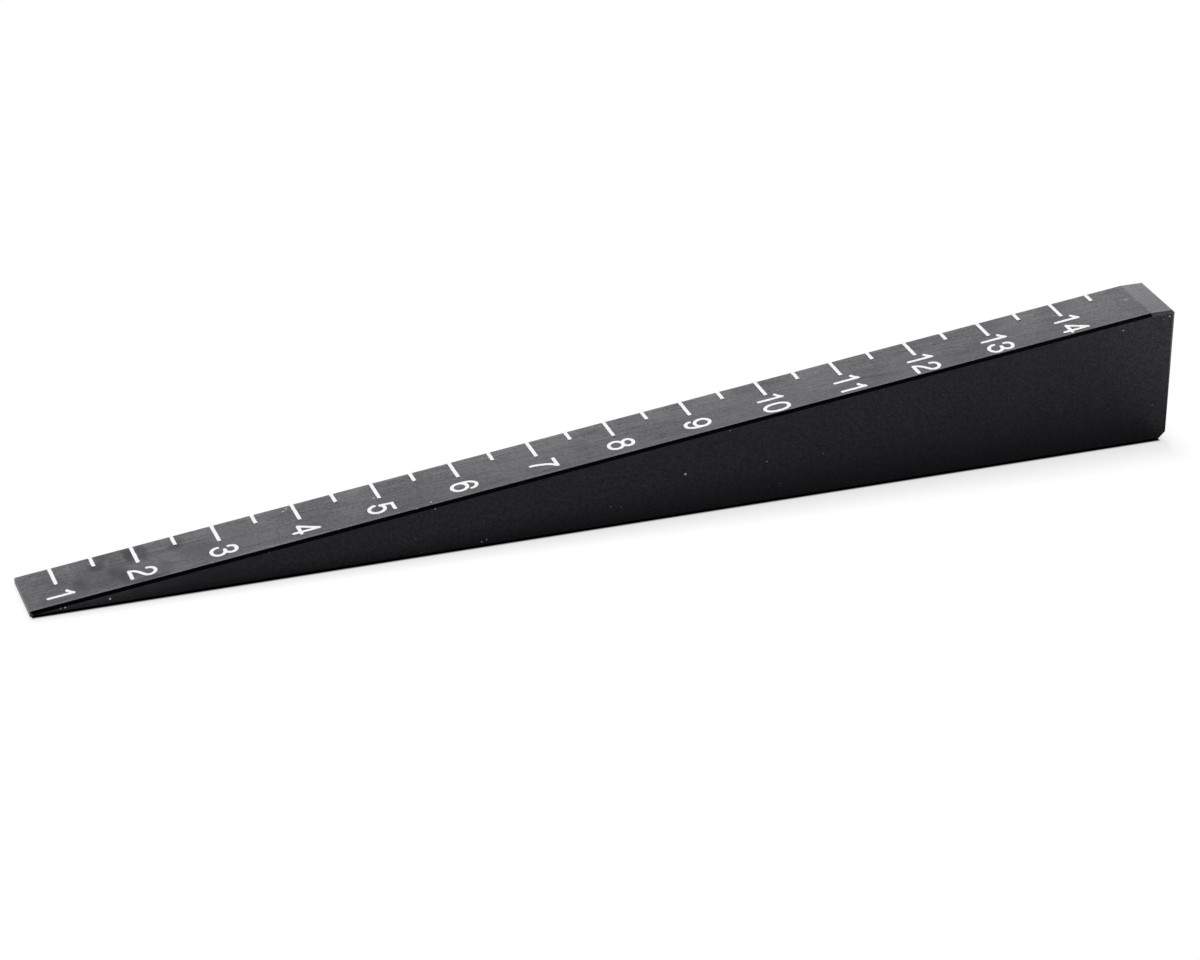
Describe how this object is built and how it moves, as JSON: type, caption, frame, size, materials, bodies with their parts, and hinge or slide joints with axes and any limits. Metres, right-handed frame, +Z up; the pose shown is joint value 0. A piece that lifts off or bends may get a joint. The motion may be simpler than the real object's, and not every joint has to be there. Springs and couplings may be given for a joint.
{
  "type": "ride height gauge",
  "caption": "Long thin wedge gauge that slides under a chassis; engraved marks on its slope read the height where it touches.",
  "frame": {"origin": "middle of the underside's rectangle, on the surface that the gauge stands on", "axes": "+X from the thin tip to the thick end, +Y across the gauge to the edge where the scale marks start, +Z up"},
  "size_m": [0.122, 0.0078, 0.015],
  "materials": {
    "black_anodised": "black anodised over a finely ground surface, satin",
    "engraving_white": "matt white engraved marks and numbers"
  },
  "bodies": {
    "root": {"gauge_body": "black_anodised"}
  },
  "joints": []
}
